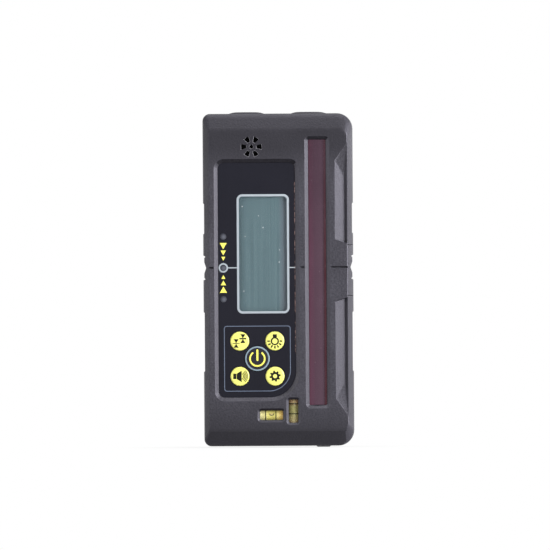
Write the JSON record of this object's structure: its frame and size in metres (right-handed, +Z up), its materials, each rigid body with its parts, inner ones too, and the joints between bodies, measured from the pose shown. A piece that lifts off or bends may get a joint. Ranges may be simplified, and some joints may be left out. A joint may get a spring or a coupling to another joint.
{
  "type": "laser receiver",
  "caption": "Handheld laser receiver with a sunken key panel, tall display, long red receiving window, spirit vials, top magnets, rear clamp thread and a hinged battery door.",
  "frame": {"origin": "middle of the bounding box at its lowest point, the tip of the latch lip", "axes": "+Z up along the receiving window, -Y out of the display, +X to the receiving window's side"},
  "size_m": [0.076, 0.036, 0.1702],
  "materials": {
    "housing": "fine matt texture",
    "panel": "satin film",
    "key_yellow": "satin",
    "key_black": "satin",
    "display_window": "clear",
    "display_glass": "reflective grey",
    "receiving_window": "dark red filter",
    "lamp_lens": "frosted",
    "vial_clear": "clear",
    "vial_fluid": "clear yellow-green",
    "white_plastic": "smooth",
    "black_plastic": "smooth",
    "seal": "matt",
    "circuit_board": "solder mask",
    "contact_rubber": "matt",
    "steel": "zinc plated",
    "magnet": "nickel plated",
    "brass": "machined",
    "cell": "plain sleeve"
  },
  "bodies": {
    "housing": {"front_housing": "housing", "rear_housing": "housing", "housing_seal": "seal", "housing_screws": "steel", "magnet_caps": "housing", "top_magnets": "magnet", "control_panel": "panel", "display_window": "display_window", "display_glass": "display_glass", "display_backlight": "white_plastic", "display_contact_strips": "contact_rubber", "key_switches": "black_plastic", "lamp_lenses": "lamp_lens", "grade_lamps": "white_plastic", "main_board": "circuit_board", "board_screws": "steel", "board_link": "black_plastic", "receiving_window": "receiving_window", "sensor_board": "circuit_board", "photodiodes": "black_plastic", "buzzer": "black_plastic", "buzzer_membrane": "seal", "horizontal_vial": "vial_clear", "horizontal_vial_fluid": "vial_fluid", "vertical_vial": "vial_clear", "vertical_vial_fluid": "vial_fluid", "vial_bracket": "white_plastic", "door_hinge_pin": "steel", "latch_spring": "steel", "battery_cell_left": "cell", "battery_cell_right": "cell", "battery_springs": "steel", "battery_contacts": "steel", "clamp_insert": "brass"},
    "battery_door": {"battery_door": "housing", "door_seal": "seal"},
    "door_latch": {"door_latch": "housing"},
    "power_key": {"power_key": "key_black"},
    "accuracy_key": {"accuracy_key": "key_yellow"},
    "backlight_key": {"backlight_key": "key_yellow"},
    "sound_key": {"sound_key": "key_yellow"},
    "set_key": {"set_key": "key_yellow"}
  },
  "joints": [
    {"name": "battery_door_hinge", "type": "hinge", "parent": "housing", "child": "battery_door", "pos_m": [0.0225, 0.0156, 0.06206], "axis": [1, 0, 0], "range_deg": [0, 95]},
    {"name": "door_latch_slide", "type": "slide", "parent": "housing", "child": "door_latch", "axis": [0, -1, 0], "range_m": [0, 0.002], "stiffness_N_per_m": 150, "springref_m": -0.004, "deforming": ["latch_spring"]},
    {"name": "power_key_press", "type": "slide", "parent": "housing", "child": "power_key", "axis": [0, 1, 0], "range_m": [0, 0.0005], "stiffness_N_per_m": 200, "springref_m": -0.002},
    {"name": "accuracy_key_press", "type": "slide", "parent": "housing", "child": "accuracy_key", "axis": [0, 1, 0], "range_m": [0, 0.0005], "stiffness_N_per_m": 200, "springref_m": -0.002},
    {"name": "backlight_key_press", "type": "slide", "parent": "housing", "child": "backlight_key", "axis": [0, 1, 0], "range_m": [0, 0.0005], "stiffness_N_per_m": 200, "springref_m": -0.002},
    {"name": "sound_key_press", "type": "slide", "parent": "housing", "child": "sound_key", "axis": [0, 1, 0], "range_m": [0, 0.0005], "stiffness_N_per_m": 200, "springref_m": -0.002},
    {"name": "set_key_press", "type": "slide", "parent": "housing", "child": "set_key", "axis": [0, 1, 0], "range_m": [0, 0.0005], "stiffness_N_per_m": 200, "springref_m": -0.002}
  ]
}
